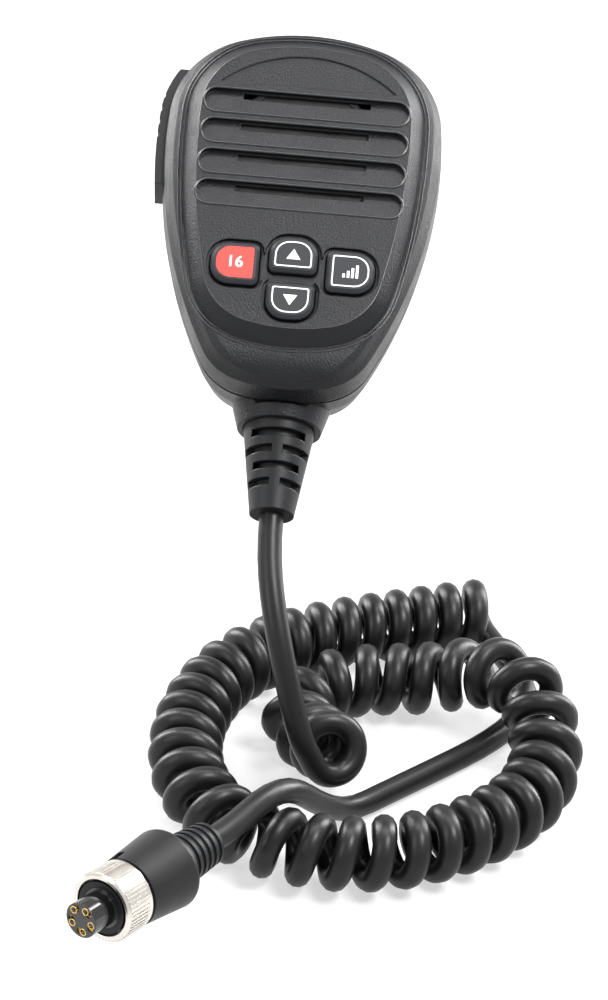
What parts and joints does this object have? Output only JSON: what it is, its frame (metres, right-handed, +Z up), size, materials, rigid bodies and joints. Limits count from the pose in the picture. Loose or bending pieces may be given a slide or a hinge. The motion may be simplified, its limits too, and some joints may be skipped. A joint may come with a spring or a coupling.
{
  "type": "marine radio handset",
  "caption": "Egg-shaped handset with speaker grille, keypad and talk key, on a curly cord that ends in a round connector with a knurled nut.",
  "frame": {"origin": "centre of the hanger stud's outer face, on the handset's back", "axes": "+Z up, front of the leaning handset towards -Y, +X to the viewer's right"},
  "size_m": [0.1178, 0.2191, 0.151],
  "materials": {
    "shell": "fine moulded texture",
    "rubber": "soft satin",
    "key_red": "soft satin",
    "key_grey": "soft satin",
    "cord": "satin",
    "metal": "nickel plated, knurled",
    "steel": "plain",
    "insert": "glossy",
    "board": "solder mask",
    "inner": "plain",
    "brass": "plated",
    "film": "film"
  },
  "bodies": {
    "handset": {"front_housing": "shell", "rear_housing": "shell", "housing_gasket": "rubber", "housing_screws": "steel", "hanger_stud": "shell", "hanger_stud_screw": "steel", "key_domes": "steel", "circuit_board": "board", "board_screws": "steel", "board_header": "inner", "speaker_basket": "steel", "speaker_cone": "film", "speaker_magnet": "steel", "speaker_membrane": "film", "microphone_boot": "rubber", "microphone_capsule": "steel", "talk_pin": "steel", "talk_seal": "rubber", "talk_switch": "inner", "strain_relief": "rubber", "cord_clamp": "inner", "cord_upper": "cord", "cord_curl": "cord", "cord_lower": "cord", "connector_boot": "rubber", "connector_body": "shell", "connector_insert": "insert", "connector_contacts": "brass", "nut_retaining_ring": "steel"},
    "key_channel_16_body": {"key_channel_16": "key_red"},
    "key_up_body": {"key_up": "key_grey"},
    "key_down_body": {"key_down": "key_grey"},
    "key_power_level_body": {"key_power_level": "key_grey"},
    "talk_key_body": {"talk_key": "rubber"},
    "nut_body": {"coupling_nut": "metal"}
  },
  "joints": [
    {"name": "key_channel_16_press", "type": "slide", "parent": "handset", "child": "key_channel_16_body", "axis": [0, 0.5878, -0.809], "range_m": [0, 0.0008], "stiffness_N_per_m": 800, "springref_m": -0.0005},
    {"name": "key_up_press", "type": "slide", "parent": "handset", "child": "key_up_body", "axis": [0, 0.5878, -0.809], "range_m": [0, 0.0008], "stiffness_N_per_m": 800, "springref_m": -0.0005},
    {"name": "key_down_press", "type": "slide", "parent": "handset", "child": "key_down_body", "axis": [0, 0.5878, -0.809], "range_m": [0, 0.0008], "stiffness_N_per_m": 800, "springref_m": -0.0005},
    {"name": "key_power_level_press", "type": "slide", "parent": "handset", "child": "key_power_level_body", "axis": [0, 0.5878, -0.809], "range_m": [0, 0.0008], "stiffness_N_per_m": 800, "springref_m": -0.0005},
    {"name": "talk_key_press", "type": "hinge", "parent": "handset", "child": "talk_key_body", "pos_m": [-0.0322, -0.02186, 0.01477], "axis": [0, 0.5878, -0.809], "range_deg": [0, 4], "stiffness_Nm_per_rad": 0.8, "springref_deg": -1.15},
    {"name": "coupling_nut_turn", "type": "hinge", "parent": "handset", "child": "nut_body", "pos_m": [-0.025, -0.18616, -0.07771], "axis": [-0.5666, -0.8194, 0.0869], "continuous": true}
  ]
}
